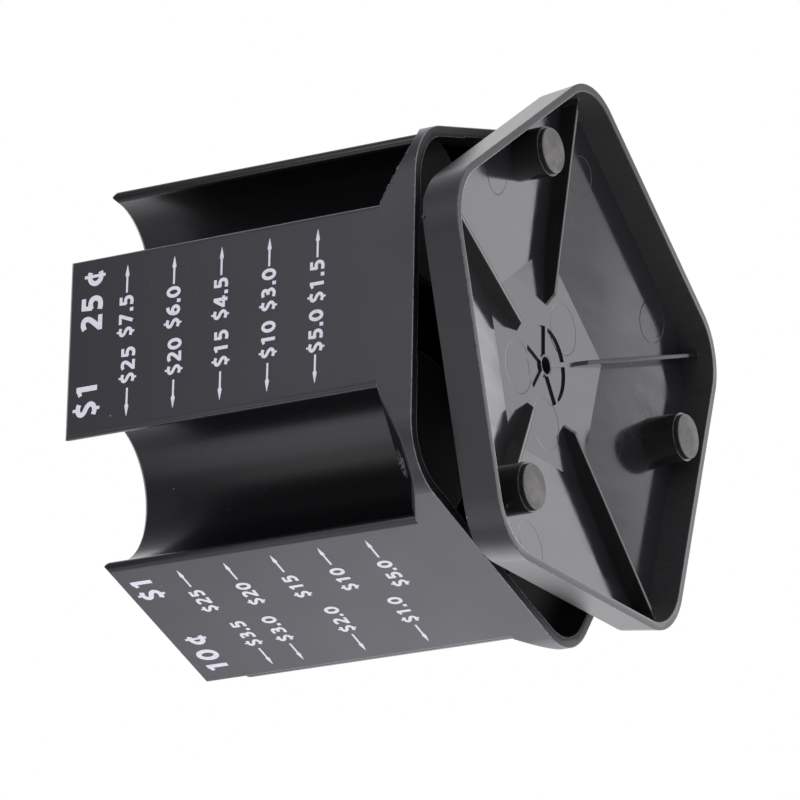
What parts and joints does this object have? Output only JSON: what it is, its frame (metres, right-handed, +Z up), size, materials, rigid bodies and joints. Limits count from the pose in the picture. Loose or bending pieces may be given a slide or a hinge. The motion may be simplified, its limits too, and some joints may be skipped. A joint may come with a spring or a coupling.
{
  "type": "coin sorter",
  "caption": "Pentagonal coin sorter: open corner channels each hold a column of one coin size beside printed value scales, and the body turns on a ribbed base with padded feet.",
  "frame": {"origin": "on the swivel axis, in the plane that the three pads stand on", "axes": "+Z up along the swivel axis; -Y out of the panel between the one-dollar and quarter channels; +X to the right of that panel"},
  "size_m": [0.1033, 0.1035, 0.0862],
  "materials": {
    "body_plastic": "fine matte panels and smooth glossy channels, with white printed scales",
    "base_plastic": "satin band, glossy underside",
    "pad_rubber": "matte grey",
    "pivot_steel": "plain plated steel"
  },
  "bodies": {
    "base": {"swivel_base": "base_plastic", "foot_pad_left": "pad_rubber", "foot_pad_right": "pad_rubber", "foot_pad_back": "pad_rubber", "pivot_washer": "pivot_steel", "pivot_screw": "pivot_steel"},
    "body": {"coin_body": "body_plastic"}
  },
  "joints": [
    {"name": "body_swivel", "type": "hinge", "parent": "base", "child": "body", "pos_m": [0, 0, 0.017], "axis": [0, 0, 1], "continuous": true}
  ]
}
